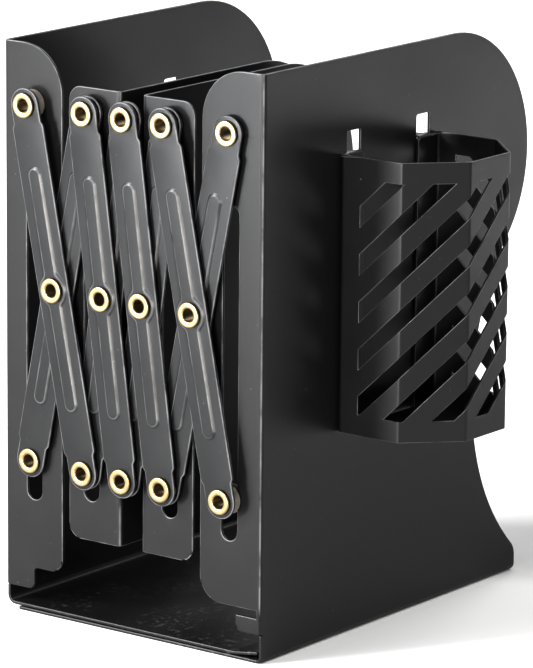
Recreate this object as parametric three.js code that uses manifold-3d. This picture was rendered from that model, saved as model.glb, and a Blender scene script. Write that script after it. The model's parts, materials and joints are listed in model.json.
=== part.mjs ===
// Expandable bookend: two end plates and two dividers on a row of four crossing pairs of arms,
// with a pen holder hung on the right plate. Millimetres, +X the way it opens, -Y its front, +Z up.
// The origin is the centre of the underside of the base, with the bookend closed.

import * as THREE from 'three';
import * as BufferGeometryUtils from 'three/addons/utils/BufferGeometryUtils.js';
import Module from 'manifold-3d';

const wasm = await Module();
wasm.setup();

// Sheets, fits and facets
const plateSheet = 1.2;
const dividerSheet = 1;
const armSheet = 1.3;
const holderSheet = 0.9;
const bendRadius = 1;
const gap = 0.3;
const overrun = 1;
const facetError = 0.08;
const turnSteps = 12;

// End plates
const plateHeight = 200;
const baseDepth = 151.5;
const headRadius = 46;
const headOverhang = 3;
const waistInset = 28.5;
const heelRadius = 7;
const heelHeight = 12.4;
const panelInset = 1;
const lowerSheetInset = 5;
const upperBendRadius = 2;
const lipLength = 10;
const lipRise = 1.5;

// Front flanges of the end plates
const flangeWidth = 25.5;
const flangeTopRadius = 17;
const leftShoulder = 16.5;
const leftShoulderRadius = 5;
const leftFoot = 8.7;
const leftFootWidth = 12.9;
const rightShoulder = 18.5;
const rightShoulderRadius = 9;
const rightFoot = 10.2;
const rightFootWidth = 9.8;
const rightFootTop = 15.3;
const footRadius = 2.5;

// Pivots of the arms
const outerPitch = 25.2;
const innerPitch = 16.9;
const pivotInset = 13.2;
const topPivotDrop = 20.6;
const bottomPivot = 55.4;
const slackAtOpenPivot = 1.4;

// Slots that the lower pivots climb
const slotWidth = 6.6;
const slotDrop = 24.4;
const plateSlotReach = 14.4;
const dividerSlotReach = 10.8;

// Dividers
const dividerDrop = 12.4;
const dividerBottom = 30.5;
const dividerFold = 4.4;
const dividerDepth = 119;
const dividerHeadRadius = 40;
const dividerHeelRadius = 15;
const dividerCornerRadius = 5;
const flangeSpacing = 3;

// Arms
const armWidth = 13;
const armEndRadius = 5.9;
const shoulderReach = 6.8;
const shoulderRun = 1.4;
const ribWidth = 6;
const ribInset = 21;
const bossRadius = 5.7;
const embossHeight = 0.6;
const embossSlope = 0.5;

// Eyelets and washers
const boreRadius = 2.15;
const shankRadius = 2.7;
const headDiameter = 8.7;
const headHeight = 0.8;
const flareDiameter = 7.8;
const flareHeight = 0.6;
const washerRadius = 5;
const middleWasherRadius = 4.1;
const washerThickness = 0.7;

// Pen holder and the slots that it hangs in
const hangerSpacing = 40;
const hangerCentre = 70.2;
const hangerWidth = 7.6;
const hangerDrop = 33.6;
const hangerHeight = 8.3;
const holderHeight = 95.3;
const holderFacet = 23.3;
const holderSideWall = 25;
const holderFlange = 12.4;
const holderBend = 0.8;
const hookWidth = 7;
const hookDrop = 6.5;
const grilleSlot = 5;
const grilleBar = 6.5;
const grilleMargin = 7.3;
const grilleStart = 15.5;

// Places that follow from these
const frontY = -baseDepth / 2;
const headReach = baseDepth + headOverhang;
const pivotX = outerPitch + innerPitch;
const halfWidth = pivotX + pivotInset;
const topPivot = plateHeight - topPivotDrop;
const pivotSpan = topPivot - bottomPivot;
const slotTop = topPivot - slotDrop;
const dividerTop = plateHeight - dividerDrop;
const hangerBottom = plateHeight - hangerDrop;
const plateBend = bendRadius + plateSheet;
const upperSheetLevel = plateSheet + gap;
const rearArmBack = frontY - gap - washerThickness - gap;
const frontArmBack = rearArmBack - armSheet - gap - washerThickness - gap;
const behindFlange = frontY + plateSheet;
const behindDivider = frontY + dividerSheet;
const stationX = [-pivotX, -innerPitch, 0, innerPitch, pivotX];

const coat = new THREE.MeshStandardMaterial({ color: 0x1d1c1e, roughness: 0.42, metalness: 0.1 });
const armCoat = new THREE.MeshStandardMaterial({ color: 0x232325, roughness: 0.38, metalness: 0.1 });
const brass = new THREE.MeshStandardMaterial({ color: 0xc9a765, roughness: 0.3, metalness: 0.9 });
const nylon = new THREE.MeshStandardMaterial({ color: 0x6b655f, roughness: 0.6, metalness: 0 });

const bookend = new THREE.Group();

function add(name, geometry, material, position = [0, 0, 0], turn = 0) {
  const mesh = new THREE.Mesh(geometry, material);
  mesh.name = name;
  mesh.position.set(...position);
  mesh.rotation.y = turn;
  bookend.add(mesh);
}

// Points along a round stretch, fine enough for its radius
function arc(x, y, radius, from, to) {
  const step = 2 * Math.acos(1 - Math.min(facetError / radius, 0.3));
  const count = Math.max(1, Math.ceil(Math.abs(to - from) / step));
  return Array.from({ length: count + 1 }, (_, i) => {
    const angle = from + (to - from) * i / count;
    return new THREE.Vector2(x + radius * Math.cos(angle), y + radius * Math.sin(angle));
  });
}

// A closed outline from corners [x, y, radius], each rounded by its own radius
function rounded(corners) {
  return corners.flatMap(([x, y, radius = 0], i) => {
    const corner = new THREE.Vector2(x, y);
    if (radius === 0) return [corner];
    const next = corners[(i + 1) % corners.length];
    const back = new THREE.Vector2(...corners.at(i - 1)).sub(corner).normalize();
    const ahead = new THREE.Vector2(...next).sub(corner).normalize();
    const half = Math.acos(back.dot(ahead)) / 2;
    const inward = back.clone().add(ahead).normalize();
    const centre = corner.clone().addScaledVector(inward, radius / Math.sin(half));
    const reach = radius / Math.tan(half);
    const start = corner.clone().addScaledVector(back, reach).sub(centre).angle();
    const end = corner.clone().addScaledVector(ahead, reach).sub(centre).angle();
    const sweep = Math.atan2(Math.sin(end - start), Math.cos(end - start));
    return arc(centre.x, centre.y, radius, start, start + sweep);
  });
}

// The cut outline of a folded sheet: its path along one face, with the thickness laid on the left
function folded(path, thickness, bend) {
  const points = path.map(([x, y]) => new THREE.Vector2(x, y));
  const runs = points.slice(1).map((point, i) => point.clone().sub(points[i]).normalize());
  const near = [];
  const far = [];
  points.forEach((point, i) => {
    const before = runs[Math.max(i - 1, 0)];
    const after = runs[Math.min(i, runs.length - 1)];
    const turn = before.cross(after);
    const side = new THREE.Vector2(-before.y - after.y, before.x + after.x);
    const shift = side.multiplyScalar(thickness / (1 + before.dot(after)));
    const outside = bend + thickness;
    near.push([point.x, point.y, turn === 0 ? 0 : (turn > 0 ? outside : bend)]);
    far.unshift([point.x + shift.x, point.y + shift.y, turn === 0 ? 0 : (turn > 0 ? bend : outside)]);
  });
  return rounded([...near, ...far]);
}

function circle(x, y, radius) {
  return arc(x, y, radius, 0, 2 * Math.PI).slice(1);
}

function upright(x, bottom, top, width) {
  const side = width / 2;
  const lower = arc(x, bottom + side, side, Math.PI, 2 * Math.PI);
  return [...lower, ...arc(x, top - side, side, 0, Math.PI)];
}

// How an outline's own axes lie when it is drawn out along X, Y or Z
const [alongX, alongY, alongZ] = [
  [[0, 1, 0], [0, 0, 1], [1, 0, 0]],
  [[1, 0, 0], [0, 0, 1], [0, -1, 0]],
  [[1, 0, 0], [0, 1, 0], [0, 0, 1]],
].map((axes) => new THREE.Matrix4().makeBasis(...axes.map((axis) => new THREE.Vector3(...axis))));

function prism(frame, from, to, outline, bevel = { bevelEnabled: false }) {
  const solid = new THREE.ExtrudeGeometry(new THREE.Shape(outline), { depth: to - from, ...bevel });
  return solid.translate(0, 0, frame === alongY ? -to : from).applyMatrix4(frame);
}

function toSolid(geometry) {
  const bare = geometry.clone();
  bare.deleteAttribute('normal');
  bare.deleteAttribute('uv');
  const merged = BufferGeometryUtils.mergeVertices(bare);
  const vertProperties = new Float32Array(merged.attributes.position.array);
  const triVerts = new Uint32Array(merged.index.array);
  return new wasm.Manifold(new wasm.Mesh({ numProp: 3, vertProperties, triVerts }));
}

function toGeometry(solid) {
  const mesh = solid.getMesh();
  const geometry = new THREE.BufferGeometry();
  geometry.setAttribute('position', new THREE.BufferAttribute(mesh.vertProperties, 3));
  geometry.setIndex(new THREE.BufferAttribute(mesh.triVerts, 1));
  geometry.computeVertexNormals();
  return geometry;
}

const common = (...parts) => parts.map(toSolid).reduce((a, b) => a.intersect(b));
const without = (solid, tools) => tools.map(toSolid).reduce((a, b) => a.subtract(b), solid);

// An outline drawn from the outer face of a plate inwards, turned to the left or the right end
const fromPlate = (side) => (points) => points.map(
  (point) => new THREE.Vector2(side * (halfWidth - point.x), point.y));

// How far the waist's round lies below the head's, and its radius, so that it touches head and heel
function waistRound(rise) {
  const across = waistInset + headOverhang;
  const share = headOverhang / across;
  const reach = rise ** 2 - waistInset * (headOverhang + 2 * (heelRadius - headRadius));
  const below = reach / (rise + Math.sqrt(rise ** 2 - share * reach));
  return { below, waistRadius: (below ** 2 / across + across) / 2 - headRadius };
}

// The side of an end plate, seen from its end: a round head, a drawn-in waist and a heel
function sideOutline(foot) {
  const head = [frontY + headReach - headRadius, plateHeight - headRadius];
  const heel = [frontY + baseDepth - heelRadius, heelHeight - heelRadius];
  const { below, waistRadius } = waistRound(head[1] - heel[1]);
  const waist = [frontY + baseDepth - waistInset + waistRadius, head[1] - below];
  const toWaist = Math.atan2(waist[1] - head[1], waist[0] - head[0]);
  const toHeel = Math.atan2(heel[1] - waist[1], heel[0] - waist[0]);
  return [
    new THREE.Vector2(frontY + panelInset, 0),
    new THREE.Vector2(frontY + panelInset, foot - gap),
    new THREE.Vector2(frontY + plateBend, foot - gap),
    new THREE.Vector2(frontY + plateBend, plateHeight),
    ...arc(...head, headRadius, Math.PI / 2, toWaist),
    ...arc(...waist, waistRadius, toWaist + Math.PI, toHeel + 2 * Math.PI).slice(1),
    ...arc(...heel, heelRadius, toHeel + Math.PI, 0).slice(1),
    new THREE.Vector2(frontY + baseDepth, 0),
  ];
}

const hangerSlots = [-1, 1].map((end) => {
  const middle = frontY + hangerCentre + end * hangerSpacing / 2;
  const [left, right] = [middle - hangerWidth / 2, middle + hangerWidth / 2];
  const top = hangerBottom + hangerHeight;
  return rounded([[left, hangerBottom], [right, hangerBottom], [right, top], [left, top]]);
});

// One end plate: side panel and base folded from one sheet, and the front flange folded in
function endPlate(side, base, level, flanges, foot) {
  const inside = fromPlate(side);
  const front = frontY - overrun;
  const rear = frontY + headReach + overrun;
  const across = (outline) => prism(alongX, -halfWidth - overrun, halfWidth + overrun, outline);
  const blank = common(prism(alongY, front, rear, inside(base)), across(sideOutline(foot)));
  const panel = without(blank, hangerSlots.map(across));
  const leg = frontY + 2 * plateBend;
  const fold = folded([[0, leg], [0, frontY], [flangeWidth, frontY]], plateSheet, bendRadius);
  const holes = [
    inside(circle(pivotInset, topPivot, shankRadius + gap)),
    inside(upright(pivotInset, bottomPivot - plateSlotReach, slotTop, slotWidth)),
  ];
  const strip = prism(alongZ, level, plateHeight + overrun, inside(fold));
  const through = (outline) => prism(alongY, front, leg + overrun, outline);
  const folds = flanges.map((outline) => common(strip, through(inside(outline))));
  return without(folds.reduce((a, b) => a.add(b), panel), holes.map(through));
}

function leftPlate() {
  const level = upperSheetLevel;
  const end = 2 * halfWidth - plateSheet - gap;
  const base = folded([
    [0, plateHeight], [0, level], [end - lipLength, level], [end, level + lipRise],
  ], plateSheet, upperBendRadius);
  const flange = rounded([
    [0, leftFoot], [leftFootWidth, leftFoot, footRadius], [leftFootWidth, leftShoulder],
    [flangeWidth, leftShoulder, leftShoulderRadius],
    [flangeWidth, plateHeight, flangeTopRadius], [0, plateHeight],
  ]);
  return endPlate(-1, base, level, [flange], leftFoot);
}

function rightPlate() {
  const end = 2 * halfWidth - lowerSheetInset;
  const base = folded([[0, plateHeight], [0, 0], [end, 0]], plateSheet, bendRadius);
  const flange = rounded([
    [0, rightShoulder], [flangeWidth, rightShoulder, rightShoulderRadius],
    [flangeWidth, plateHeight, flangeTopRadius], [0, plateHeight],
  ]);
  const foot = rounded([
    [0, rightFoot], [rightFootWidth, rightFoot, footRadius], [rightFootWidth, rightFootTop],
    [plateBend, rightFootTop], [plateBend, rightShoulder + gap], [0, rightShoulder + gap],
  ]);
  return endPlate(1, base, 0, [flange, foot], rightFoot);
}

add('left_end_plate', toGeometry(leftPlate()), coat);
add('right_end_plate', toGeometry(rightPlate()), coat);

// One divider: an upright panel with its front edge folded outwards into a flange
function divider(side) {
  const edge = halfWidth - flangeWidth - flangeSpacing;
  const rear = frontY + dividerDepth;
  const outward = (points) => points.map((point) => new THREE.Vector2(side * point.x, point.y));
  const path = [[dividerFold, rear], [dividerFold, frontY], [edge, frontY]];
  const fold = folded(path, dividerSheet, bendRadius);
  const front = rounded([
    [dividerFold, dividerBottom], [edge, dividerBottom, dividerCornerRadius],
    [edge, dividerTop, dividerCornerRadius], [dividerFold, dividerTop],
  ]);
  const holes = [
    circle(innerPitch, topPivot, shankRadius + gap),
    upright(innerPitch, bottomPivot - dividerSlotReach, slotTop, slotWidth),
  ];
  const panel = rounded([
    [frontY, dividerBottom], [rear, dividerBottom, dividerHeelRadius],
    [rear, dividerTop, dividerHeadRadius], [frontY, dividerTop],
  ]);
  const through = (outline) => prism(alongY, frontY - overrun, rear + overrun, outward(outline));
  const sheet = common(
    prism(alongZ, dividerBottom, dividerTop, outward(fold)), through(front),
    prism(alongX, -halfWidth, halfWidth, panel),
  );
  return without(sheet, holes.map(through));
}

add('left_divider', toGeometry(divider(-1)), coat);
add('right_divider', toGeometry(divider(1)), coat);

// A raised or sunk pressing: it narrows by its slope over its height, towards the front
function pressing(outline, face, depth) {
  return toSolid(prism(alongY, face, face + depth, outline, {
    bevelSegments: 1, bevelThickness: embossHeight, bevelSize: embossSlope, bevelOffset: -embossSlope,
  }));
}

function ribOutline(length, inset) {
  const end = length / 2 - ribInset - inset;
  const side = ribWidth / 2 - inset;
  const boss = bossRadius - inset;
  const meet = Math.acos(side / boss);
  return [
    ...arc(0, side - end, side, Math.PI, 2 * Math.PI),
    ...arc(0, 0, boss, -meet, meet),
    ...arc(0, end - side, side, 0, Math.PI),
    ...arc(0, 0, boss, Math.PI - meet, Math.PI + meet),
  ];
}

// One pressed arm, upright about its middle pivot, with its back face at zero
function arm(length, slack = 0) {
  const half = length / 2;
  const wide = armWidth / 2;
  const neck = half - shoulderReach;
  const shoulder = neck - shoulderRun;
  const outline = [
    ...arc(0, half, armEndRadius, 0, Math.PI),
    new THREE.Vector2(-armEndRadius, neck),
    new THREE.Vector2(-wide, shoulder),
    new THREE.Vector2(-wide, -shoulder),
    new THREE.Vector2(-armEndRadius, -neck),
    ...arc(0, -half, armEndRadius, Math.PI, 2 * Math.PI),
    new THREE.Vector2(armEndRadius, -neck),
    new THREE.Vector2(wide, -shoulder),
    new THREE.Vector2(wide, shoulder),
    new THREE.Vector2(armEndRadius, neck),
  ];
  const hole = shankRadius + gap;
  const holes = [circle(0, half, hole + slack), circle(0, 0, hole), circle(0, -half, hole)];
  const blank = toSolid(prism(alongY, -armSheet, 0, outline));
  const rib = pressing(ribOutline(length, 0), -armSheet, armSheet / 2);
  const hollow = pressing(ribOutline(length, embossSlope), 0, overrun);
  const front = -armSheet - embossHeight - overrun;
  const drills = holes.map((outline) => prism(alongY, front, overrun, outline));
  return toGeometry(without(blank.add(rib).subtract(hollow), drills));
}

const outerLength = Math.hypot(outerPitch, pivotSpan);
const innerLength = Math.hypot(innerPitch, pivotSpan);
const outerArm = arm(outerLength);
const innerArm = arm(innerLength);
const looseOuterArm = arm(outerLength, slackAtOpenPivot);
const looseInnerArm = arm(innerLength, slackAtOpenPivot);
const rearArms = [looseOuterArm, innerArm, looseInnerArm, outerArm];
const frontArms = [outerArm, innerArm, innerArm, outerArm];

for (let pair = 0; pair < frontArms.length; pair++) {
  const pitch = stationX[pair + 1] - stationX[pair];
  const tilt = Math.atan2(pitch, pivotSpan);
  const middle = stationX[pair] + pitch / 2;
  const height = topPivot - pivotSpan / 2;
  add(`rear_arm_${pair + 1}`, rearArms[pair], armCoat, [middle, rearArmBack, height], tilt);
  add(`front_arm_${pair + 1}`, frontArms[pair], armCoat, [middle, frontArmBack, height], -tilt);
}

// The rolled rim of an eyelet, as shares of its width past the bore and of its height
const rimShares = [[0.8, 0], [1, 0.45], [0.6, 1], [0.15, 0.8]];

// A hollow rivet that holds what lies between two faces, its head in front
function eyelet(back, front) {
  const headWidth = headDiameter / 2 - boreRadius;
  const flareWidth = flareDiameter / 2 - boreRadius;
  const headFace = front - gap;
  const flareFace = back + gap;
  const points = [
    new THREE.Vector2(shankRadius, flareFace),
    new THREE.Vector2(shankRadius, headFace),
    ...rimShares.map(([out, up]) => new THREE.Vector2(
      boreRadius + out * headWidth, headFace - up * headHeight)),
    new THREE.Vector2(boreRadius, headFace),
    new THREE.Vector2(boreRadius, flareFace),
    ...rimShares.map(([out, up]) => new THREE.Vector2(
      boreRadius + out * flareWidth, flareFace + up * flareHeight)).reverse(),
    new THREE.Vector2(shankRadius, flareFace),
  ];
  return new THREE.LatheGeometry(points.reverse(), turnSteps);
}

// A washer or spacer between two faces, with its running gap on both sides
function washer(back, front, radius) {
  const bore = shankRadius + gap;
  const points = [
    [bore, front + gap], [radius, front + gap], [radius, back - gap], [bore, back - gap],
    [bore, front + gap],
  ];
  return new THREE.LatheGeometry(points.map(([r, y]) => new THREE.Vector2(r, y)), turnSteps);
}

const rearArmFront = rearArmBack - armSheet;
const frontArmFront = frontArmBack - armSheet;
const pastWasher = gap + washerThickness;

const topStacks = [
  [behindFlange, frontArmFront], [behindDivider, frontArmFront], [rearArmBack, frontArmFront],
  [behindDivider, frontArmFront], [behindFlange, rearArmFront],
];
const bottomStacks = [
  [behindFlange + pastWasher, rearArmFront], [behindDivider + pastWasher, frontArmFront],
  [rearArmBack, frontArmFront],
  [behindDivider + pastWasher, frontArmFront], [behindFlange + pastWasher, frontArmFront],
];

topStacks.forEach(([back, front], i) => {
  add(`top_rivet_${i + 1}`, eyelet(back, front), brass, [stationX[i], 0, topPivot]);
});
bottomStacks.forEach(([back, front], i) => {
  add(`bottom_rivet_${i + 1}`, eyelet(back, front), brass, [stationX[i], 0, bottomPivot]);
});

const betweenArms = washer(rearArmFront, frontArmBack, washerRadius);
const behindRearArm = washer(frontY, rearArmBack, washerRadius);
const spacer = washer(frontY, frontArmBack, washerRadius);
for (const i of [1, 2, 3]) {
  add(`top_washer_${i + 1}`, betweenArms, nylon, [stationX[i], 0, topPivot]);
  add(`bottom_washer_${i + 1}`, betweenArms, nylon, [stationX[i], 0, bottomPivot]);
}
for (const i of [1, 3, 4]) {
  add(`top_back_washer_${i + 1}`, behindRearArm, nylon, [stationX[i], 0, topPivot]);
}
for (const i of [0, 1, 3]) {
  add(`bottom_back_washer_${i + 1}`, behindRearArm, nylon, [stationX[i], 0, bottomPivot]);
}
add('top_spacer_1', spacer, nylon, [stationX[0], 0, topPivot]);
add('bottom_spacer_5', spacer, nylon, [stationX[4], 0, bottomPivot]);

const slidePlate = washer(behindFlange + pastWasher + gap, behindFlange, washerRadius);
const slideDivider = washer(behindDivider + pastWasher + gap, behindDivider, washerRadius);
[slidePlate, slideDivider, null, slideDivider, slidePlate].forEach((slide, i) => {
  if (slide) add(`slide_washer_${i + 1}`, slide, nylon, [stationX[i], 0, bottomPivot]);
});

for (let pair = 0; pair < frontArms.length; pair++) {
  const middle = (stationX[pair] + stationX[pair + 1]) / 2;
  const place = [middle, 0, topPivot - pivotSpan / 2];
  const [rearFace, frontFace] = [rearArmFront - embossHeight, frontArmBack - embossHeight];
  const back = rearArmBack - embossHeight;
  add(`middle_rivet_${pair + 1}`, eyelet(back, frontArmFront - embossHeight), brass, place);
  add(`middle_washer_${pair + 1}`, washer(rearFace, frontFace, middleWasherRadius), nylon, place);
}

// Pen holder: a pocket of five facets folded from one sheet, hung by two hooks
const holderFace = halfWidth + gap;
const holderRim = hangerBottom + gap + holderSheet;
const holderBottom = holderRim - holderHeight;
const facetStep = holderFacet * Math.SQRT1_2;
const holderFront = frontY + hangerCentre - holderFacet / 2 - facetStep;
const holderRear = frontY + hangerCentre + holderFacet / 2 + facetStep;
const shoulderX = holderFace + holderSideWall;
const outerX = shoulderX + facetStep;
const holderPlan = [
  [holderFace, holderFront + holderFlange], [holderFace, holderFront], [shoulderX, holderFront],
  [outerX, holderFront + facetStep], [outerX, holderRear - facetStep], [shoulderX, holderRear],
  [holderFace, holderRear], [holderFace, holderRear - holderFlange],
];

// The slanted slots of one facet, clipped to the margins, along the unrolled sheet
function grille(start, length, total) {
  const pitch = (grilleSlot + grilleBar) * Math.SQRT2;
  const opening = grilleSlot * Math.SQRT2;
  const left = Math.max(start, grilleMargin);
  const right = Math.min(start + length, total - grilleMargin);
  const [low, high] = [grilleMargin, holderHeight - grilleMargin];
  const window = rounded([
    [left - start, low], [right - start, low], [right - start, high], [left - start, high],
  ]);
  const first = -Math.ceil((grilleStart + length + start) / pitch);
  const bars = [];
  for (let i = first; grilleStart + i * pitch + start < holderHeight + opening; i++) {
    const foot = grilleStart + i * pitch + start - opening / 2;
    bars.push(rounded([[0, foot], [length, foot + length], [length, foot + length + opening],
      [0, foot + opening]]));
  }
  const depth = holderSheet + overrun;
  const flat = (outline) => toSolid(prism(alongZ, -depth, overrun, outline));
  return bars.map(flat).reduce((a, b) => a.add(b)).intersect(flat(window));
}

// Lays a facet's flat pattern on its wall: along the wall, up, and outwards
function onWall(solid, from, to) {
  const along = new THREE.Vector3(to[0] - from[0], to[1] - from[1], 0).normalize();
  const up = new THREE.Vector3(0, 0, 1);
  const frame = new THREE.Matrix4().makeBasis(along, up, along.clone().cross(up));
  frame.setPosition(from[0], from[1], holderBottom);
  return toSolid(toGeometry(solid).applyMatrix4(frame));
}

function hook(middle) {
  const out = holderFace + holderSheet;
  const behind = halfWidth - plateSheet - gap;
  const outline = rounded([
    [out, holderRim], [behind - holderSheet, holderRim, holderSheet / 2],
    [behind - holderSheet, holderRim - hookDrop], [behind, holderRim - hookDrop],
    [behind, holderRim - holderSheet], [out, holderRim - holderSheet],
  ]);
  return toSolid(prism(alongY, middle - hookWidth / 2, middle + hookWidth / 2, outline));
}

function penHolder() {
  const plan = folded(holderPlan, holderSheet, holderBend);
  const walls = holderPlan.slice(1, -1);
  const lengths = walls.slice(1).map((end, i) => Math.hypot(end[0] - walls[i][0], end[1] - walls[i][1]));
  const total = lengths.reduce((a, b) => a + b);
  let shell = toSolid(prism(alongZ, holderBottom, holderRim, plan));
  let start = 0;
  lengths.forEach((length, i) => {
    shell = shell.subtract(onWall(grille(start, length, total), walls[i], walls[i + 1]));
    start += length;
  });
  for (const end of [-1, 1]) {
    shell = shell.add(hook(frontY + hangerCentre + end * hangerSpacing / 2));
  }
  return shell;
}

function holderFloor() {
  const inset = holderSheet + gap;
  const diagonal = inset * Math.tan(Math.PI / 8);
  const [front, rear] = [holderFront + inset, holderRear - inset];
  const outline = rounded([
    [holderFace + inset, front], [shoulderX - diagonal, front],
    [outerX - inset, holderFront + facetStep + diagonal],
    [outerX - inset, holderRear - facetStep - diagonal], [shoulderX - diagonal, rear],
    [holderFace + inset, rear],
  ]);
  return prism(alongZ, holderBottom, holderBottom + holderSheet, outline);
}

add('pen_holder', toGeometry(penHolder()), coat);
add('pen_holder_floor', holderFloor(), coat);

export default bookend;
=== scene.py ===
import json
from math import atan2, ceil, cos, hypot, pi, radians, sin, sqrt, tan

import bmesh
import bpy
from mathutils import Euler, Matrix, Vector

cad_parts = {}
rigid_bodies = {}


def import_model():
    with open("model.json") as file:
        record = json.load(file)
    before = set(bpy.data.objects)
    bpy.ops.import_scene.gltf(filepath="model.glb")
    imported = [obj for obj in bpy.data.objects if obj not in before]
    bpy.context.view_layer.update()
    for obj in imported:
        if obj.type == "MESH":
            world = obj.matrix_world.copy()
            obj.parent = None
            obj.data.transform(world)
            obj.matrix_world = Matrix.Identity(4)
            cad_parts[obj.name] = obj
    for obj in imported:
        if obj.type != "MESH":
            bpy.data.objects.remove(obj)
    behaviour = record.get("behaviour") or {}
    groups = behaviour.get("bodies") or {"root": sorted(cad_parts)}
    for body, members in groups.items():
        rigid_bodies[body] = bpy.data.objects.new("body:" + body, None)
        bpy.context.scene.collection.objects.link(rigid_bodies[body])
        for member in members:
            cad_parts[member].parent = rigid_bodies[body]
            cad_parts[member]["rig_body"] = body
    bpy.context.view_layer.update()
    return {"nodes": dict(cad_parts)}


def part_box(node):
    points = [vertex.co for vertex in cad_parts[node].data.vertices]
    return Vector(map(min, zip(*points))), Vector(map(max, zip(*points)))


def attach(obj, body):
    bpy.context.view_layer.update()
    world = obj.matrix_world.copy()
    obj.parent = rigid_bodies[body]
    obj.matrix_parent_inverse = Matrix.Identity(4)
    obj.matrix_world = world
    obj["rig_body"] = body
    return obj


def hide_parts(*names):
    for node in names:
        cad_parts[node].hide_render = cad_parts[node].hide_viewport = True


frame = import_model()
mm = 0.001

# ---- Camera ----
# It stands to the right of the front and a little above it, behind a long lens, as the
# photograph was taken.
photo_width = 533
focal_pixels = 4656.7
sensor_width = 36
camera_aim = Vector((61.2, -81.2, 115.5)) * mm
camera_distance = 1521.8 * mm
camera_turn, camera_rise, camera_roll = radians(36.98), radians(12.96), radians(0.51)

away = Vector((sin(camera_turn) * cos(camera_rise), -cos(camera_turn) * cos(camera_rise),
               sin(camera_rise)))
bpy.ops.object.camera_add(location=camera_aim + camera_distance * away)
camera = bpy.context.object
stance = Euler((pi / 2 - camera_rise, 0, camera_turn)).to_matrix()
camera.rotation_euler = (stance @ Euler((0, 0, camera_roll)).to_matrix()).to_euler()
camera.data.sensor_fit = 'HORIZONTAL'
camera.data.sensor_width = sensor_width
camera.data.lens = sensor_width * focal_pixels / photo_width
bpy.context.scene.camera = camera


# ---- Powder coat ----
# The finish of every steel sheet: satin black powder, baked on. It has a fine orange peel,
# cloudy changes of gloss, painted edge highlights, and the dust that a dark surface always
# shows.
cloud_size = 22 * mm
peel_size, peel_height = 0.7 * mm, 0.012 * mm
dust_tone = (0.10, 0.098, 0.094)
speck_spacing = 1.3 * mm
dust_grain, dust_patch = 2.4 * mm, 30 * mm
dust_layer, dust_reach = 10 * mm, 56 * mm
# A painted highlight on edge crests: its tone, the size of its patches, the height it starts
# from.
highlight_tone = (0.16, 0.162, 0.17)
highlight_patch = 7 * mm
highlight_rise = 100 * mm


class Channel:
    """A socket of a shader tree. Arithmetic on it adds Math nodes."""

    def __init__(self, socket):
        self.socket = socket

    def joined(self, operation, first, second):
        return add_node(self.socket.id_data, 'ShaderNodeMath', {'operation': operation},
                        {0: first, 1: second}, 'Value')

    def __add__(self, other):
        return self.joined('ADD', self, other)

    def __sub__(self, other):
        return self.joined('SUBTRACT', self, other)

    def __rsub__(self, other):
        return self.joined('SUBTRACT', other, self)

    def __mul__(self, other):
        return self.joined('MULTIPLY', self, other)

    __radd__ = __add__
    __rmul__ = __mul__


def add_node(tree, kind, settings, sockets, output):
    """One shader node: its settings first, then its sockets' values or links."""
    node = tree.nodes.new(kind)
    for name, value in settings.items():
        if name == 'stops':
            for element, (place, level) in zip(node.color_ramp.elements, value):
                element.position = place
                element.color = (level, level, level, 1)
        else:
            setattr(node, name, value)
    for name, value in sockets.items():
        if isinstance(value, Channel):
            tree.links.new(value.socket, node.inputs[name])
        else:
            node.inputs[name].default_value = value
    return Channel(node.outputs[output])


def new_finish(name):
    """A material with only its output, and the place on the piece that patterns read."""
    finish = bpy.data.materials.new(name)
    finish.use_nodes = True
    tree = finish.node_tree
    tree.nodes.clear()
    place = add_node(tree, 'ShaderNodeTexCoord', {}, {}, 'Object')
    return finish, tree, place


def noise(tree, place, grain, detail=2.0):
    """Soft noise whose lumps are about as wide as grain, in metres."""
    return add_node(tree, 'ShaderNodeTexNoise', {},
                    {'Vector': place, 'Scale': 1 / grain, 'Detail': detail}, 'Fac')


def ramp(tree, level, low, high):
    """Zero up to low and one from high, straight between them."""
    return add_node(tree, 'ShaderNodeValToRGB', {'stops': [(low, 0), (high, 1)]},
                    {'Fac': level}, 'Color')


def blend_colours(tree, share, first, second):
    return add_node(tree, 'ShaderNodeMix', {'data_type': 'RGBA'},
                    {0: share, 6: first, 7: second}, 2)


def along(tree, place, axis):
    """One coordinate of a place, in metres."""
    return add_node(tree, 'ShaderNodeSeparateXYZ', {}, {'Vector': place}, axis)


def finished(tree, settings, colour, roughness, normal):
    """Ends a finish in its shader: even values first, then what changes over the surface."""
    sockets = {**settings, 'Base Color': colour, 'Roughness': roughness, 'Normal': normal}
    shader = add_node(tree, 'ShaderNodeBsdfPrincipled', {}, sockets, 'BSDF')
    output = tree.nodes.new('ShaderNodeOutputMaterial')
    tree.links.new(shader.socket, output.inputs['Surface'])


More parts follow.
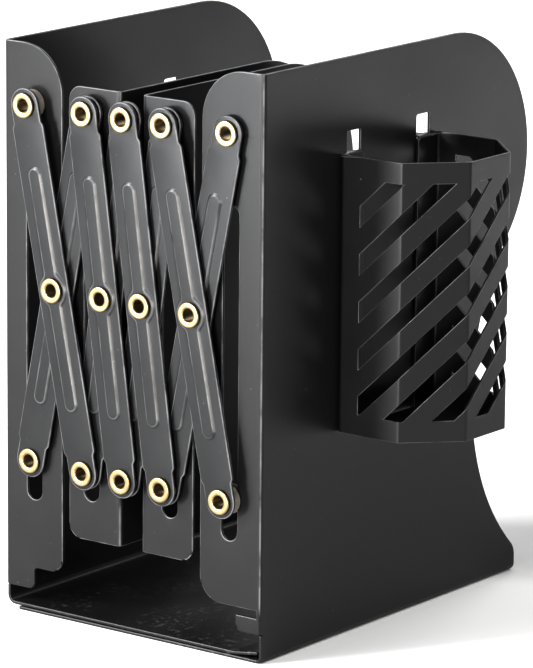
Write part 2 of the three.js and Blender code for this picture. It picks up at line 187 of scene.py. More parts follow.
def powder_coat(name, tone, gloss):
    """Dust settles in patches below about 5 mm, between the upright panels. A lighter tone is
    painted on as a highlight where edge crests are marked, from just above the right foot's
    tab."""
    finish, tree, place = new_finish(name)
    clouds = noise(tree, place, cloud_size, 3)
    peel = noise(tree, place, peel_size, 1.5)
    x, z = along(tree, place, 'X'), along(tree, place, 'Z')
    above_base = ramp(tree, z * (1 / dust_layer), 0.4, 0.6)
    beside_base = ramp(tree, x * x * (1 / dust_reach ** 2), 0.86, 0.90)
    settled = (ramp(tree, noise(tree, place, dust_grain, 5), 0.54, 0.70)
               * ramp(tree, noise(tree, place, dust_patch, 2), 0.38, 0.60)
               * (1 - above_base) * (1 - beside_base)) * 0.6
    dust = ramp(tree, noise(tree, place, speck_spacing, 2), 0.74, 0.80) + settled
    # Painted highlight: a lighter tone on marked edge and fold crests, above the foot tab.
    highlight_mark = add_node(tree, 'ShaderNodeAttribute', {'attribute_name': "eased_edge"}, {}, 'Fac')
    painted_highlight = (highlight_mark * ramp(tree, noise(tree, place, highlight_patch, 3), 0.25, 0.6)
              * ramp(tree, z * (1 / highlight_rise), 0.165, 0.2))
    tint = blend_colours(tree, clouds, [0.82 * t for t in tone] + [1],
                         [1.18 * t for t in tone] + [1])
    dusty = blend_colours(tree, dust * 0.75, tint, (*dust_tone, 1))
    colour = blend_colours(tree, painted_highlight, dusty, (*highlight_tone, 1))
    roughness = gloss + 0.12 * (clouds - 0.5) + 0.06 * (peel - 0.5) + 0.2 * dust
    bump = add_node(tree, 'ShaderNodeBump', {}, {
        'Strength': 0.5, 'Distance': peel_height, 'Height': peel}, 'Normal')
    finished(tree, {'Specular IOR Level': 0.28}, colour, roughness, bump)
    return finish


plate_powder = powder_coat('satin_black_powder', (0.0062, 0.0060, 0.0064), 0.36)

# ---- Left end plate ----
# One sheet of 1.2 mm steel, cut and punched flat, then folded into a side panel, a front
# flange that carries the arms, and the base that slides over the other plate's base.
plate_sheet = 1.2 * mm
plate_bend = 1.7 * mm
left_base_bend = 3.2 * mm
lip_length = 10 * mm
lip_rise = 1.5 * mm
cut_edge = 0.4 * mm
bend_steps = 6
hole_steps = 32
# How near two points, or a point and a line, count as the same in each kind of work.
same_place = 0.01 * mm
drawn_weld, folded_weld = 0.005 * mm, 0.004 * mm
score_reach = 0.002 * mm

left_low, left_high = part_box("left_end_plate")
right_low, right_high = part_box("right_end_plate")
front_y = left_low.y
plate_top = left_high.z
half_width = right_high.x

head_radius = 46 * mm
head_overhang = 3 * mm
waist_inset = 28.5 * mm
heel_radius = 7 * mm
heel_height = 12.4 * mm
panel_inset = 1 * mm
foot_relief = 0.3 * mm
hanger_width = 7.6 * mm
hanger_low, hanger_high = 166.4 * mm, 174.7 * mm
hanger_places = [-25.55 * mm, 14.45 * mm]
hanger_round = 0.8 * mm

flange_width = 25.5 * mm
flange_top_round = 17 * mm
pivot_inset = 13.2 * mm
pivot_hole = 3 * mm
slot_width = 6.6 * mm
plate_slot = (41 * mm, 155 * mm)


def middle_of(node):
    low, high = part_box(node)
    return (low + high) / 2


def new_piece(name):
    """An empty piece, open in edit mode, on the bench: the ground plane at the origin."""
    if bpy.context.object and bpy.context.object.mode == 'EDIT':
        bpy.ops.object.mode_set(mode='OBJECT')
    bpy.ops.object.select_all(action='DESELECT')
    bpy.ops.mesh.primitive_plane_add(size=mm, location=(0, 0, 0))
    piece = bpy.context.object
    piece.name = piece.data.name = name
    bpy.ops.object.mode_set(mode='EDIT')
    bpy.ops.mesh.select_mode(type='VERT')
    bpy.ops.mesh.select_all(action='SELECT')
    bpy.ops.mesh.delete(type='VERT')
    return piece


def choose(wanted, faces=False):
    """Selects the points, or the faces by their middles, that wanted says yes to."""
    bpy.ops.mesh.select_all(action='DESELECT')
    bpy.ops.mesh.select_mode(type='FACE' if faces else 'VERT')
    mesh = bmesh.from_edit_mesh(bpy.context.object.data)
    for part in mesh.faces if faces else mesh.verts:
        if wanted(part.calc_center_median() if faces else part.co):
            part.select_set(True)
    mesh.select_flush_mode()
    bmesh.update_edit_mesh(bpy.context.object.data)


def choose_nothing():
    choose(lambda p: False)


def turn_chosen(angle, axis, centre):
    """Turns what is chosen, anticlockwise seen from the axis's end. The sign is the other way
    round when there is no window."""
    bpy.ops.transform.rotate(value=-angle, orient_axis=axis, orient_type='GLOBAL',
                             center_override=centre)


def put_point(place):
    """Adds a single point, as a tiny ring merged into one."""
    choose_nothing()
    bpy.ops.mesh.primitive_circle_add(vertices=3, radius=0.1 * mm, location=place)
    bpy.ops.mesh.merge(type='CENTER')


def draw(start, *strokes):
    """Draws a closed line on the bench. A stroke is a point to go straight to, or a centre
    and the angle to swing round it."""
    put_point((*start, 0))
    here = Vector(start)
    for stroke in (*strokes, start):
        if isinstance(stroke[0], (int, float)):
            step = Vector(stroke) - here
            bpy.ops.mesh.extrude_region_move(TRANSFORM_OT_translate={'value': (*step, 0)})
            here = Vector(stroke)
        else:
            centre, angle = Vector(stroke[0]), stroke[1]
            arm = here - centre
            steps = max(3, ceil(abs(angle) * sqrt(arm.length / mm) * 2))
            bpy.ops.mesh.spin(steps=steps, angle=-angle, center=(*centre, 0), axis=(0, 0, 1))
            arm.rotate(Euler((0, 0, angle)).to_matrix().to_2x2())
            here = centre + arm
    bpy.ops.mesh.select_all(action='SELECT')
    bpy.ops.mesh.remove_doubles(threshold=drawn_weld)


def round_corner(place, radius):
    """Rounds one square corner of a drawn line."""
    choose(lambda p: (p.xy - Vector(place)).length < same_place)
    bpy.ops.mesh.bevel(offset=radius, segments=max(3, ceil(3 * sqrt(radius / mm))),
                       affect='VERTICES')


def punch_round(place, radius):
    choose_nothing()
    bpy.ops.mesh.primitive_circle_add(vertices=hole_steps, radius=radius,
                                      location=(*place, 0))


def punch_slot(x, low, high, width):
    side = width / 2
    draw((x + side, low + side), (x + side, high - side), ((x, high - side), pi),
         (x - side, low + side), ((x, low + side), pi))


def punch_square(x, low, high, width, radius):
    corners = [(x + a * width / 2, b) for a, b in ((-1, low), (1, low), (1, high), (-1, high))]
    draw(*corners)
    for corner in corners:
        round_corner(corner, radius)


def fill_sheet(facing=1, wanted=lambda p: True):
    """Fills the drawn lines to a flat sheet that faces up, or down for -1."""
    choose(wanted)
    bpy.ops.mesh.fill(use_beauty=True)
    mesh = bmesh.from_edit_mesh(bpy.context.object.data)
    for face in mesh.faces:
        if face.normal.z * facing < 0:
            face.normal_flip()
    bmesh.update_edit_mesh(bpy.context.object.data)


def face_up():
    """Turns over a flat face that was added face down."""
    mesh = bmesh.from_edit_mesh(bpy.context.object.data)
    if mesh.faces[:][0].normal.z < 0:
        bpy.ops.mesh.flip_normals()


def flat_bend(radius, angle):
    """How much flat sheet a bend takes, along the face whose radius is given."""
    return 2 * bend_steps * radius * sin(abs(angle) / (2 * bend_steps))


def cut_line(axis, place, wanted=lambda p: True):
    """Scores a straight line across the chosen faces, square to X (0) or Y (1)."""
    choose(wanted, faces=True)
    point, normal = [0, 0, 0], [0, 0, 0]
    point[axis] = place
    normal[axis] = 1
    bpy.ops.mesh.bisect(plane_co=point, plane_no=normal, threshold=score_reach)


def fold(axis, start, beyond, angle, radius, only=lambda p: True):
    """Folds up what lies beyond a line square to X (0) or Y (1), in a bend of small steps.
    Below the bench for a negative angle. Outer folds come before inner ones."""
    step = beyond * flat_bend(radius, angle) / bend_steps
    lines = [start + i * step for i in range(bend_steps + 1)]
    for i, line in enumerate(lines):
        cut_line(axis, line, lambda p: i == 0 or (only(p) and (p[axis] - start) * beyond > 0))
    hinge = 'YX'[axis]
    sense = -beyond if axis == 0 else beyond
    for i, line in reversed(list(enumerate(lines))):
        part = angle / bend_steps / (2 if i in (0, bend_steps) else 1)
        choose(lambda p: only(p) and (p[axis] - line) * beyond > folded_weld)
        centre = [0, 0, 0]
        centre[axis] = line
        turn_chosen(sense * part, hinge, centre)


def stand_up(x):
    """Stands a sheet from the bench on its edge: the bench's X runs back and its Y up."""
    bpy.ops.mesh.select_all(action='SELECT')
    turn_chosen(pi / 2, 'X', (0, 0, 0))
    turn_chosen(pi / 2, 'Z', (0, 0, 0))
    bpy.ops.transform.translate(value=(x, 0, 0))


def apply_modifier(piece, kind, **settings):
    modifier = piece.modifiers.new(kind.title(), kind)
    for name, value in settings.items():
        setattr(modifier, name, value)
    bpy.ops.object.modifier_apply(modifier=modifier.name)


def thicken(piece, sheet, edge=cut_edge):
    """Gives a folded sheet its thickness behind its face, and eases its cut edges. The second
    of two empty material slots tells the eased faces from the rest."""
    bpy.ops.mesh.select_all(action='SELECT')
    bpy.ops.mesh.remove_doubles(threshold=folded_weld)
    bpy.ops.object.mode_set(mode='OBJECT')
    apply_modifier(piece, 'SOLIDIFY', thickness=sheet, offset=-1, use_even_offset=True)
    for _ in range(2):
        piece.data.materials.append(None)
    apply_modifier(piece, 'BEVEL', width=edge, segments=2, limit_method='ANGLE',
                   angle_limit=radians(50), use_clamp_overlap=False, material=1)
    mark_highlight_crests(piece.data)
    smooth(piece)


def mark_highlight_crests(mesh):
    """Marks the crests of the bevels, where a lighter painted highlight goes."""
    crest = [1.0] * len(mesh.vertices)
    for face in mesh.polygons:
        if face.material_index == 0:
            for vertex in face.vertices:
                crest[vertex] = 0.0
    mark = mesh.attributes.new("eased_edge", 'FLOAT', 'POINT')
    mark.data.foreach_set("value", crest)


def paint_fold_highlight(piece, middle_x, radius):
    """Marks the crest of an upright front fold, by its bend's middle, for a painted highlight.
    """
    mark = piece.data.attributes["eased_edge"]
    for vertex, highlight_level in zip(piece.data.vertices, mark.data):
        across, back = vertex.co.x - middle_x, vertex.co.y - front_y - radius
        on_bend = abs(hypot(across, back) - radius) < 3 * same_place
        if on_bend and abs(abs(across) + back) < 5 * same_place:
            highlight_level.value = 1


def smooth(piece):
    bpy.ops.object.shade_smooth()
    apply_modifier(piece, 'WEIGHTED_NORMAL', weight=50, keep_sharp=False)


def press_back(axis, face, outward):
    """Presses what bulges past a flat face, where a rounded corner meets a fold, back to it."""
    bpy.ops.object.mode_set(mode='EDIT')
    choose(lambda p: (p[axis] - face) * outward > 0)
    flat, centre = [1, 1, 1], [0, 0, 0]
    flat[axis], centre[axis] = 0, face
    bpy.ops.transform.resize(value=flat, center_override=centre)
    bpy.ops.object.mode_set(mode='OBJECT')


def hand_over(piece, finish, node):
    """Gives a piece its finish and puts it in the frame in place of its node."""
    piece.data.materials.clear()
    piece.data.materials.append(finish)
    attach(piece, frame["nodes"][node]["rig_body"])
    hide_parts(node)


def waist_round(rise):
    """How far the waist's round lies below the head's, and its radius, touching both ends."""
    across = waist_inset + head_overhang
    share = head_overhang / across
    reach = rise ** 2 - waist_inset * (head_overhang + 2 * (heel_radius - head_radius))
    below = reach / (rise + sqrt(rise ** 2 - share * reach))
    return below, (below ** 2 / across + across) / 2 - head_radius


def plate_blank(flange, base_low, foot):
    """Draws an end plate flat: the flange's corners lie in front of the panel's round back."""
    rear = left_high.y - head_overhang
    head = Vector((left_high.y - head_radius, plate_top - head_radius))
    heel = Vector((rear - heel_radius, heel_height - heel_radius))
    below, waist_radius = waist_round(head.y - heel.y)
    waist = Vector((rear - waist_inset + waist_radius, head.y - below))
    to_waist = atan2(waist.y - head.y, waist.x - head.x)
    to_heel = atan2(heel.y - waist.y, heel.x - waist.x)
    draw((front_y + panel_inset, base_low), (rear, base_low), (rear, heel.y),
         (heel, to_heel + pi), (waist, to_waist - to_heel - pi), (head, pi / 2 - to_waist),
         *[corner[:2] for corner in flange],
         (front_y + plate_bend, foot - foot_relief),
         (front_y + panel_inset, foot - foot_relief))
    for x, y, radius in flange:
        if radius:
            round_corner((x, y), radius)


def flange_at(distance, bend):
    """Where a place on the folded flange lies on the flat sheet, by its distance from the
    outer face of the panel."""
    return front_y + bend - flat_bend(bend, pi / 2) - (distance - bend)


def shape_plate(name, side, flange, level, base_bend, base_reach, lip, foot):
    """Cuts, folds and thickens one end plate. Side is -1 for the left one, 1 for the right."""
    piece = new_piece(name)
    lip_angle = atan2(lip_rise, lip_length)
    base_start = level + base_bend
    base_low = base_start - flat_bend(base_bend, pi / 2) - (base_reach - base_bend)
    plate_blank(flange, base_low, foot)
    pivot = flange_at(pivot_inset, plate_bend)
    punch_round((pivot, middle_of("top_rivet_1").z), pivot_hole)
    punch_slot(pivot, *plate_slot, slot_width)
    for place in hanger_places:
        punch_square(place, hanger_low, hanger_high, hanger_width, hanger_round)
    fill_sheet(side)
    if lip:
        fold(1, base_low + lip_length, -1, -side * lip_angle, base_bend)
    fold(1, base_start, -1, -side * pi / 2, base_bend)
    fold(0, front_y + plate_bend, -1, -side * pi / 2, plate_bend,
         lambda p: p.y > foot - foot_relief / 2)
    stand_up(side * half_width)
    thicken(piece, plate_sheet)
    paint_fold_highlight(piece, side * (half_width - plate_bend), plate_bend)
    press_back(0, side * half_width, side)
    return piece


left_foot, left_foot_width, left_foot_round = 8.7 * mm, 12.9 * mm, 2.5 * mm
left_shoulder, left_shoulder_round, left_notch_round = 16.5 * mm, 5 * mm, 1.2 * mm
edge = flange_at(flange_width, plate_bend)
inner = flange_at(left_foot_width, plate_bend)
left_flange = [
    (edge, plate_top, flange_top_round), (edge, left_shoulder, left_shoulder_round),
    (inner, left_shoulder, left_notch_round), (inner, left_foot, left_foot_round),
    (front_y + plate_bend, left_foot, 0),
]
left_plate = shape_plate("left_plate", -1, left_flange, left_low.z, left_base_bend,
                         left_high.x + half_width, True, left_foot)
hand_over(left_plate, plate_powder, "left_end_plate")

# ---- Right end plate ----
# The same sheet the other way round. Its base lies flat on the floor, under the left one,
# and a slit frees the foot tab below its flange.
right_base_bend = 2.2 * mm
right_foot, right_foot_width, right_foot_top = 10.2 * mm, 10.3 * mm, 16.0 * mm
right_shoulder, right_shoulder_round = 18.5 * mm, 9 * mm
right_foot_round = 2.5 * mm
inner = flange_at(right_foot_width, plate_bend)
slit_end = flange_at(plate_bend, plate_bend)
right_flange = [
    (edge, plate_top, flange_top_round), (edge, right_shoulder, right_shoulder_round),
    (slit_end, right_shoulder, 0), (slit_end, right_foot_top, 0),
    (inner, right_foot_top, 0), (inner, right_foot, right_foot_round),
    (front_y + plate_bend, right_foot, 0),
]
right_plate = shape_plate("right_plate", 1, right_flange, right_low.z, right_base_bend,
                          half_width - right_low.x, False, right_foot)
hand_over(right_plate, plate_powder, "right_end_plate")

# ---- Dividers ----
# Two plain uprights of 1 mm steel between the end plates. The front edge of each is folded
# outwards into a flange that the arms are riveted to. The two are cut alike.
divider_sheet = 1 * mm
divider_bend = 2 * mm
divider_edge_round = 5 * mm
divider_head_round = 40 * mm
divider_heel_round = 15 * mm
divider_slot = (44.6 * mm, 155 * mm)

for side, name in ((-1, "left_divider"), (1, "right_divider")):
    low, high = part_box(name)
    face = low.x if side > 0 else high.x
    width = high.x - low.x
    piece = new_piece(f"{name}_sheet")
    edge = flange_at(width, divider_bend)
    corners = [(edge, low.z, divider_edge_round), (high.y, low.z, divider_heel_round),
               (high.y, high.z, divider_head_round), (edge, high.z, divider_edge_round)]
    draw(*[corner[:2] for corner in corners])
    for x, y, radius in corners:
        round_corner((x, y), radius)
    top = middle_of("top_rivet_4")
    pivot = flange_at(top.x - abs(face), divider_bend)
    punch_round((pivot, top.z), pivot_hole)
    punch_slot(pivot, *divider_slot, slot_width)
    fill_sheet(-side)
    fold(0, front_y + divider_bend, -1, side * pi / 2, divider_bend)
    stand_up(face)
    thicken(piece, divider_sheet)
    paint_fold_highlight(piece, face + side * divider_bend, divider_bend)
    hand_over(piece, plate_powder, name)

# ---- Arms ----
# Eight steel straps in four crossing pairs. Each is pressed with a raised rib that swells to
# a boss at the middle pivot, and its ends are a step narrower than its middle.
arm_powder = powder_coat('arm_black_powder', (0.0070, 0.0072, 0.0077), 0.34)
arm_sheet = 1.3 * mm
arm_width = 13.5 * mm
arm_end_radius = 5.9 * mm
arm_cut_edge = 0.5 * mm
shoulder_reach = 6.0 * mm
shoulder_run = 1.4 * mm
rib_width = 6.2 * mm
rib_inset = 20.8 * mm
boss_radius = 6.2 * mm
rib_blend = 1.6 * mm
rib_slope = [(0.3 * mm, 0.09 * mm), (0.65 * mm, 0.46 * mm), (0.3 * mm, 0.06 * mm)]
rib_height = sum(rise for _, rise in rib_slope)
rib_rim = rib_height - rib_slope[-1][1]
# How strong the painted highlight is on the rib's upper rim.
rib_highlight_strength = 0.5
end_hole = 3 * mm
slack_hole = 4.4 * mm
slack_arms = ("rear_arm_1", "rear_arm_3")


def draw_rib(length):
    """The rib's foot: round ends, and a round boss that it meets in small hollows."""
    side = rib_width / 2
    end = length / 2 - rib_inset - side
    x = side + rib_blend
    y = sqrt((boss_radius + rib_blend) ** 2 - x ** 2)
    meet = atan2(y, x)
    draw((side, y), (side, end), ((0, end), pi), (-side, y), ((-x, y), -meet),
         ((0, 0), 2 * meet), ((-x, -y), -meet), (-side, -end), ((0, -end), pi), (side, -y),
         ((x, -y), -meet), ((0, 0), 2 * meet), ((x, y), -meet))


def paint_rib_highlight(piece):
    """Marks the upper rim of the rib's flank for a painted highlight."""
    mark = piece.data.attributes["eased_edge"]
    for vertex, highlight_level in zip(piece.data.vertices, mark.data):
        if abs(vertex.co.y + rib_rim) < same_place:
            highlight_level.value = rib_highlight_strength


def shape_arm(name, length, top_hole):
    """One arm on the bench, its front face up at zero and its middle pivot at the origin."""
    piece = new_piece(name)
    draw_rib(length)
    bpy.ops.mesh.edge_face_add()
    face_up()
    for run, rise in rib_slope:
        bpy.ops.mesh.inset(thickness=run, depth=rise, use_boundary=True)
    bpy.ops.mesh.delete(type='ONLY_FACE')
    punch_round((0, 0), end_hole)
    bpy.ops.transform.translate(value=(0, 0, rib_height))
    fill_sheet(wanted=lambda p: p.z > rib_height - same_place)
    half, wide, narrow = length / 2, arm_width / 2, arm_end_radius
    neck = half - shoulder_reach
    shoulder = neck - shoulder_run
    draw((wide, -shoulder), (wide, shoulder), (narrow, neck), (narrow, half),
         ((0, half), pi), (-narrow, neck), (-wide, shoulder), (-wide, -shoulder),
         (-narrow, -neck), (-narrow, -half), ((0, -half), pi), (narrow, -neck))
    punch_round((0, half), top_hole)
    punch_round((0, -half), end_hole)
    fill_sheet(wanted=lambda p: p.z < same_place)
    bpy.ops.mesh.select_all(action='SELECT')
    turn_chosen(pi / 2, 'X', (0, 0, 0))
    thicken(piece, arm_sheet, arm_cut_edge)
    paint_rib_highlight(piece)
    return piece


def copied(pattern, name):
    """A copy of a finished piece with a mesh of its own, open in edit mode."""
    if bpy.context.object.mode == 'EDIT':
        bpy.ops.object.mode_set(mode='OBJECT')
    bpy.ops.object.select_all(action='DESELECT')
    pattern.select_set(True)
    bpy.context.view_layer.objects.active = pattern
    bpy.ops.object.duplicate(linked=False)
    piece = bpy.context.object
    piece.name = piece.data.name = name
    bpy.ops.object.mode_set(mode='EDIT')
    bpy.ops.mesh.select_all(action='SELECT')
    return piece


patterns = {}
for pair in range(1, 5):
    top, bottom = middle_of(f"top_rivet_{pair}"), middle_of(f"bottom_rivet_{pair + 1}")
    length = hypot(top.x - bottom.x, top.z - bottom.z)
    tilt = atan2(abs(top.x - bottom.x), top.z - bottom.z)
    for row, sense in (("rear", 1), ("front", -1)):
        node = f"{row}_arm_{pair}"
        hole = slack_hole if node in slack_arms else end_hole
        key = (round(length / mm, 2), hole)
        if key not in patterns:
            patterns[key] = shape_arm("arm_pattern", length, hole)
        piece = copied(patterns[key], f"{row}_strap_{pair}")
        turn_chosen(sense * tilt, 'Y', (0, 0, 0))
        place = Vector(((top.x + bottom.x) / 2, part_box(node)[1].y - arm_sheet,
                        (top.z + bottom.z) / 2))
        bpy.ops.transform.translate(value=place)
        bpy.ops.object.mode_set(mode='OBJECT')
        hand_over(piece, arm_powder, node)
for pattern in patterns.values():
    bpy.data.objects.remove(pattern)

# ---- Washers and spacers ----
# Nylon discs that keep the arms apart and let them turn. Each has eased rims and a bore that
# clears the eyelet's shank.
nylon, tree, place = new_finish('grey_nylon')
speckle = noise(tree, place, 1.5 * mm, 2)
tint = blend_colours(tree, speckle, (0.20, 0.175, 0.15, 1), (0.30, 0.27, 0.235, 1))
grain = add_node(tree, 'ShaderNodeBump', {}, {
    'Strength': 0.3, 'Distance': 0.02 * mm, 'Height': noise(tree, place, 0.3 * mm)}, 'Normal')
finished(tree, {'Specular IOR Level': 0.5}, tint, 0.5 + 0.1 * speckle, grain)

washer_bore = 3 * mm
washer_edge = 0.15 * mm
round_steps = 48


def revolve(piece, profile):
    """Turns a profile of corners [radius, depth, rounding] round the Y axis."""
    draw(*[corner[:2] for corner in profile])
    for x, y, radius in profile:
        if radius:
            round_corner((x, y), radius)
    bpy.ops.mesh.select_all(action='SELECT')
    bpy.ops.mesh.spin(steps=round_steps, angle=2 * pi, center=(0, 0, 0), axis=(0, 1, 0))
    bpy.ops.mesh.select_all(action='SELECT')
    bpy.ops.mesh.remove_doubles(threshold=folded_weld)
    bpy.ops.mesh.normals_make_consistent(inside=False)
    bpy.ops.object.mode_set(mode='OBJECT')
    smooth(piece)


patterns = {}
washers = sorted(node for node in frame["nodes"] if "washer" in node or "spacer" in node)
for node in washers:
    low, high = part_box(node)
    radius, depth = (high.x - low.x) / 2, high.y - low.y
    key = (round(radius / mm, 1), round(depth / mm, 1))
    if key not in patterns:
        patterns[key] = new_piece("washer_pattern")
        revolve(patterns[key], [
            (washer_bore, -depth / 2, washer_edge), (radius, -depth / 2, washer_edge),
            (radius, depth / 2, washer_edge), (washer_bore, depth / 2, washer_edge)])
    piece = copied(patterns[key], f"nylon_{node}")
    bpy.ops.transform.translate(value=(low + high) / 2)
    bpy.ops.object.mode_set(mode='OBJECT')
    hand_over(piece, nylon, node)
for pattern in patterns.values():
    bpy.data.objects.remove(pattern)

# ---- Eyelets ----
# Hollow brass rivets. Each has a broad rolled head in front, a bore right through, and a
# smaller flare that is clenched behind the sheets.
brass, tree, place = new_finish('polished_brass')
tarnish = noise(tree, place, 3 * mm, 3)
tint = blend_colours(tree, tarnish, (0.24, 0.18, 0.10, 1), (0.34, 0.265, 0.155, 1))
grain = add_node(tree, 'ShaderNodeBump', {}, {
    'Strength': 0.25, 'Distance': 0.01 * mm, 'Height': noise(tree, place, 0.5 * mm)}, 'Normal')
finished(tree, {'Metallic': 1.0}, tint, 0.3 + 0.15 * tarnish, grain)

bore_radius = 2.15 * mm
shank_radius = 2.7 * mm
eyelet_radius, head_height = 4.35 * mm, 0.8 * mm
flare_radius, flare_height = 3.9 * mm, 0.6 * mm
pattern_shank = 5 * mm

eyelet_pattern = new_piece("eyelet_pattern")
revolve(eyelet_pattern, [
    (shank_radius, 0, 0),
    (eyelet_radius, 0, 0.25 * mm),
    (eyelet_radius, -head_height, 0.5 * mm),
    (bore_radius, -head_height, 0.75 * mm),
    (bore_radius, pattern_shank + flare_height, 0.5 * mm),
    (flare_radius, pattern_shank + flare_height, 0.35 * mm),
    (flare_radius, pattern_shank, 0.2 * mm),
    (shank_radius, pattern_shank, 0)])
eyelets = sorted(node for node in frame["nodes"] if "rivet" in node)
for node in eyelets:
    low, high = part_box(node)
    piece = copied(eyelet_pattern, node.replace("rivet", "eyelet"))
    shank = high.y - low.y - head_height - flare_height
    choose(lambda p: p.y > pattern_shank / 2)
    bpy.ops.transform.translate(value=(0, shank - pattern_shank, 0))
    bpy.ops.mesh.select_all(action='SELECT')
    middle = (low + high) / 2
    bpy.ops.transform.translate(value=(middle.x, low.y + head_height, middle.z))
    bpy.ops.object.mode_set(mode='OBJECT')
    hand_over(piece, brass, node)
bpy.data.objects.remove(eyelet_pattern)

# ---- Pen holder ----
# A pocket of 0.9 mm sheet in five facets, slotted on the slant all round. Two hooks bent from
# its back flanges hang in the end plate's slots.
holder_sheet = 0.9 * mm
holder_bend = 1.7 * mm
holder_low, holder_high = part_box("pen_holder")
holder_rim = 167.6 * mm
holder_gap = 0.3 * mm
holder_face = half_width + holder_gap
holder_cut_edge = 0.18 * mm
facet = 23.3 * mm
side_wall = 25 * mm
back_flange = 12.4 * mm
back_flange_round = 2.5 * mm
holder_middle = sum(hanger_places) / 2
hook_width, hook_gap, hook_bend = 7 * mm, 0.5 * mm, 0.3 * mm
hook_low = holder_rim - holder_sheet - hook_bend
hook_drop = 5.3 * mm
grille_slot, grille_bar = 5 * mm, 6.5 * mm
grille_margin, grille_side_margin = 7.3 * mm, 8.5 * mm
grille_rows = range(-8, 6)
grille_start = 18.4 * mm
grille_lean = tan(radians(43))

corner_45 = holder_bend * tan(pi / 8)
bend_45, bend_90 = flat_bend(holder_bend, pi / 4), flat_bend(holder_bend, pi / 2)
first_bend = facet / 2 - corner_45
second_bend = first_bend + bend_45 + facet - 2 * corner_45
last_bend = second_bend + bend_45 + side_wall - corner_45 - holder_bend
flat_end = last_bend + bend_90 + back_flange - holder_bend
flat_corner = 1.5 * facet + side_wall

holder = new_piece("pen_pocket")
corners = [(holder_middle + a * flat_end, b) for a, b in
           ((-1, holder_low.z), (1, holder_low.z), (1, holder_rim), (-1, holder_rim))]
draw(*corners)
for corner in corners[2:]:
    round_corner(corner, back_flange_round)
bpy.ops.mesh.select_all(action='SELECT')
bpy.ops.mesh.edge_face_add()
face_up()

window_x = flat_corner - grille_side_margin
window_low, window_high = holder_low.z + grille_margin, holder_rim - grille_margin


def in_window(p):
    return abs(p.x - holder_middle) < window_x and window_low < p.y < window_high


for end in (-1, 1):
    cut_line(0, holder_middle + end * window_x)
cut_line(1, window_low)
cut_line(1, window_high)
slant_pitch = (grille_slot + grille_bar) * sqrt(2)
slant_opening = grille_slot * sqrt(2)


def slant_height(p):
    """How far a place lies above the middle of the first slanted slot."""
    return p.y - holder_low.z - grille_start - grille_lean * (p.x - holder_middle + flat_corner)


for row in grille_rows:
    for side in (-0.5, 0.5):
        height = holder_low.z + grille_start + row * slant_pitch + side * slant_opening
        choose(in_window, faces=True)
        bpy.ops.mesh.bisect(plane_co=(holder_middle - flat_corner, height, 0),
                            plane_no=(-grille_lean, 1, 0), threshold=score_reach)
choose(lambda p: in_window(p) and abs((slant_height(p) + slant_pitch / 2) % slant_pitch
                                      - slant_pitch / 2) < slant_opening / 2, faces=True)
bpy.ops.mesh.delete(type='FACE')

hook_reach = holder_face - (half_width - plate_sheet - holder_gap) - 2 * hook_bend
hook_top = hook_low + 2 * flat_bend(hook_bend, pi / 2) + hook_reach + hook_drop
hook_second = hook_low + flat_bend(hook_bend, pi / 2) + hook_reach

for end, place in zip((-1, 1), hanger_places):
    reach = (holder_high.y - place) if end > 0 else (place - holder_low.y)
    middle = holder_middle + end * (last_bend + bend_90 + reach - holder_bend)
    sides = [middle + a * (hook_width / 2 + b) for a in (-1, 1) for b in (0, hook_gap)]
    for x in sides:
        cut_line(0, x, lambda p: (p.x - holder_middle) * end > last_bend + bend_90)
    cut_line(1, hook_low, lambda p: abs(p.x - middle) < hook_width / 2 + hook_gap)
    choose(lambda p: p.y > hook_low and hook_width / 2 < abs(p.x - middle)
           < hook_width / 2 + hook_gap, faces=True)
    bpy.ops.mesh.delete(type='FACE')

    def on_hook(p):
        return p.y > hook_low and abs(p.x - middle) < hook_width / 2 + same_place

    choose(lambda p: on_hook(p) and abs(p.y - holder_rim) < same_place)
    bpy.ops.mesh.extrude_region_move(
        TRANSFORM_OT_translate={'value': (0, hook_top - holder_rim, 0)})
    fold(1, hook_second, 1, pi / 2, hook_bend, on_hook)
    fold(1, hook_low, 1, pi / 2, hook_bend, on_hook)

for end in (-1, 1):
    for start, angle in ((last_bend, pi / 2), (second_bend, pi / 4), (first_bend, pi / 4)):
        fold(0, holder_middle + end * start, end, -angle, holder_bend)
stand_up(holder_high.x)
thicken(holder, holder_sheet, holder_cut_edge)
press_back(0, holder_high.x, 1)
hand_over(holder, plate_powder, "pen_holder")

# The pocket's floor is a separate plate with cut corners, set in a little way all round.
floor_low, floor_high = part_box("pen_holder_floor")
floor_gap, floor_cut_edge = 0.3 * mm, 0.15 * mm
cut = facet * sqrt(0.5) - (holder_sheet + floor_gap) * (1 - tan(pi / 8))
pocket_floor = new_piece("pen_pocket_floor")
draw((floor_low.x, floor_low.y), (floor_high.x - cut, floor_low.y),
     (floor_high.x, floor_low.y + cut), (floor_high.x, floor_high.y - cut),
     (floor_high.x - cut, floor_high.y), (floor_low.x, floor_high.y))
fill_sheet(1)
bpy.ops.mesh.select_all(action='SELECT')
bpy.ops.transform.translate(value=(0, 0, floor_high.z))
thicken(pocket_floor, holder_sheet, floor_cut_edge)
hand_over(pocket_floor, plate_powder, "pen_holder_floor")

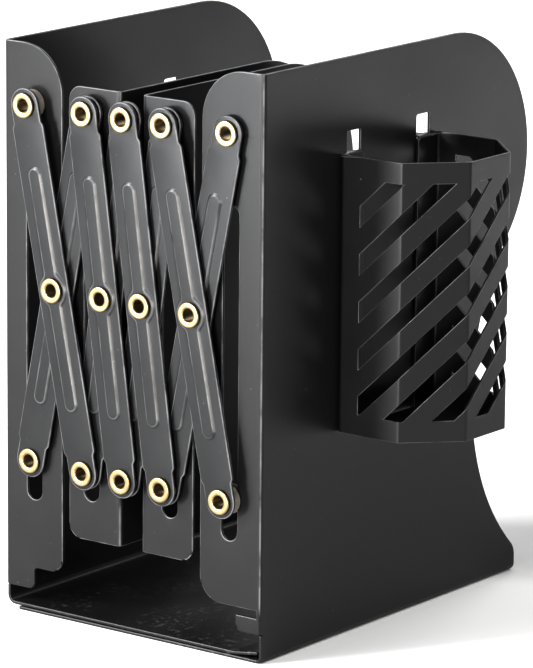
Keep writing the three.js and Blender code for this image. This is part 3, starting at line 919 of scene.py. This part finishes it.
# ---- Studio ----
# A plain pale floor that runs out of sight, and soft lights round the object.
floor_size = 8
bpy.ops.object.select_all(action='DESELECT')
bpy.ops.mesh.primitive_plane_add(size=floor_size, location=(0, 0, 0))
floor = bpy.context.object
floor.name = "studio_floor"
finish, tree, place = new_finish('studio_paper')
shade = noise(tree, place, 400 * mm, 2)
paper = blend_colours(tree, shade, (0.80, 0.80, 0.80, 1), (0.84, 0.84, 0.84, 1))
grain = add_node(tree, 'ShaderNodeBump', {}, {
    'Strength': 0.1, 'Distance': 0.1 * mm, 'Height': noise(tree, place, 2 * mm)}, 'Normal')
finished(tree, {'Specular IOR Level': 0.1}, paper, shade * 0.1 + 0.8, grain)
floor.data.materials.append(finish)

world = bpy.data.worlds.new("studio")
bpy.context.scene.world = world
world.use_nodes = True
sky = world.node_tree.nodes["Background"]
sky.inputs["Color"].default_value = (1, 1, 1, 1)
sky.inputs["Strength"].default_value = 0.45
bpy.context.scene.view_settings.view_transform = 'Standard'
bpy.context.scene.view_settings.exposure = 0.4
bpy.context.scene.view_settings.gamma = 0.8

light_aim = Vector((0, 0, 0.1))


def softbox(name, turn, rise, distance, size, glow, colour=(1, 1, 1)):
    """A soft light round the object, by its compass turn from the front and its rise, in
    degrees. Glow is how bright its face is."""
    turn, rise = radians(turn), radians(rise)
    away = Vector((sin(turn) * cos(rise), -cos(turn) * cos(rise), sin(rise)))
    bpy.ops.object.light_add(type='AREA', location=light_aim + distance * away)
    box = bpy.context.object
    box.name = name
    box.data.shape = 'RECTANGLE'
    box.data.size, box.data.size_y = size
    box.data.energy = glow * pi * size[0] * size[1]
    box.data.color = colour
    box.visible_camera = False
    box.rotation_euler = (-away).to_track_quat('-Z', 'Y').to_euler()


softbox("key_light", -38, 26, 4.4, (1.4, 1.4), 55)
softbox("front_window", -22, 1, 1.1, (0.22, 0.2), 58, (0.96, 0.985, 1))
softbox("edge_strip", 12, 0, 2.2, (0.3, 0.17), 260, (1, 0.95, 0.87))
softbox("upper_strip", 12, 34, 2.4, (0.5, 0.25), 80)
softbox("back_fill", 192, 28, 2.6, (1.4, 0.9), 6)

# A lamp over the paper behind the right panel, which mirrors that patch of paper.
bpy.ops.object.light_add(type='SPOT', location=(0.57, 0.76, 1.8))
lamp = bpy.context.object
lamp.name = "paper_lamp"
lamp.data.energy = 400
lamp.data.spot_size = radians(26)
lamp.data.spot_blend = 0.6
lamp.data.shadow_soft_size = 0.15
